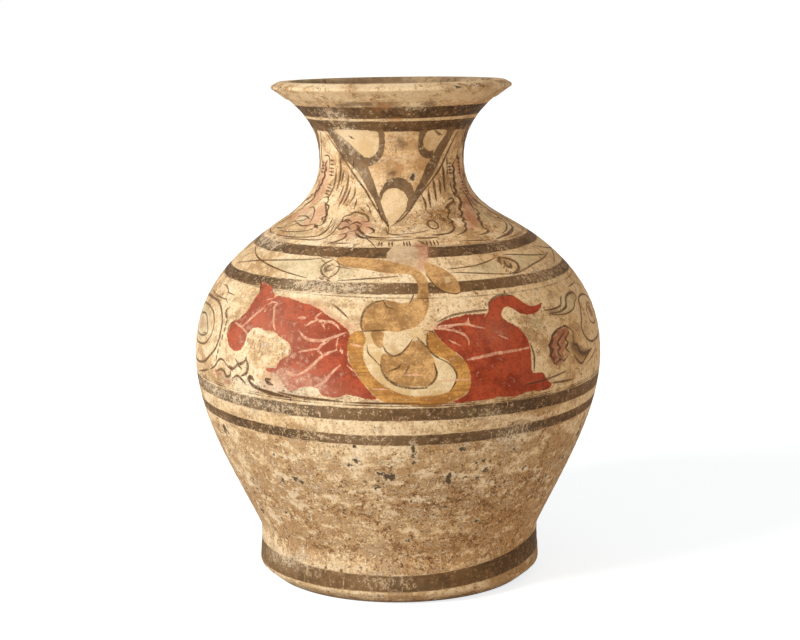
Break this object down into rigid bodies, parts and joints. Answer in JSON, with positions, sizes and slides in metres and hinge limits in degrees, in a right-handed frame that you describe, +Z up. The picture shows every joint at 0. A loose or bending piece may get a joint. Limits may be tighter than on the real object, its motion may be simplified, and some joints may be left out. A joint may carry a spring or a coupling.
{
  "type": "hu vase",
  "caption": "Painted earthenware hu vase with ring foot, round belly, narrow waisted neck and broad out-turned mouth rim.",
  "frame": {"origin": "centre of the sole of the foot ring, on the surface the vase stands on", "axes": "+Z up along the turning axis of the vase; -Y is the painted front with the horse and rider"},
  "size_m": [0.3704, 0.3704, 0.4533],
  "materials": {
    "painted_slip": "matte cream slip with red, ochre and brown-black cold painting, worn and stained",
    "worn_slip": "matte cream slip, heavily worn and soil stained",
    "rim_slip": "matte cream slip on the mouth rim, chipped along the lip",
    "bare_clay": "unslipped low-fired earthenware, dark and rough"
  },
  "bodies": {
    "root": {"foot_ring": "worn_slip", "base_disc": "worn_slip", "lower_body": "worn_slip", "belly": "painted_slip", "shoulder": "painted_slip", "neck": "painted_slip", "mouth_rim": "rim_slip", "foot_lute": "bare_clay", "floor_lute": "bare_clay", "girth_lute": "bare_clay", "shoulder_lute": "bare_clay", "neck_lute": "bare_clay", "lip_lute": "bare_clay"}
  },
  "joints": []
}
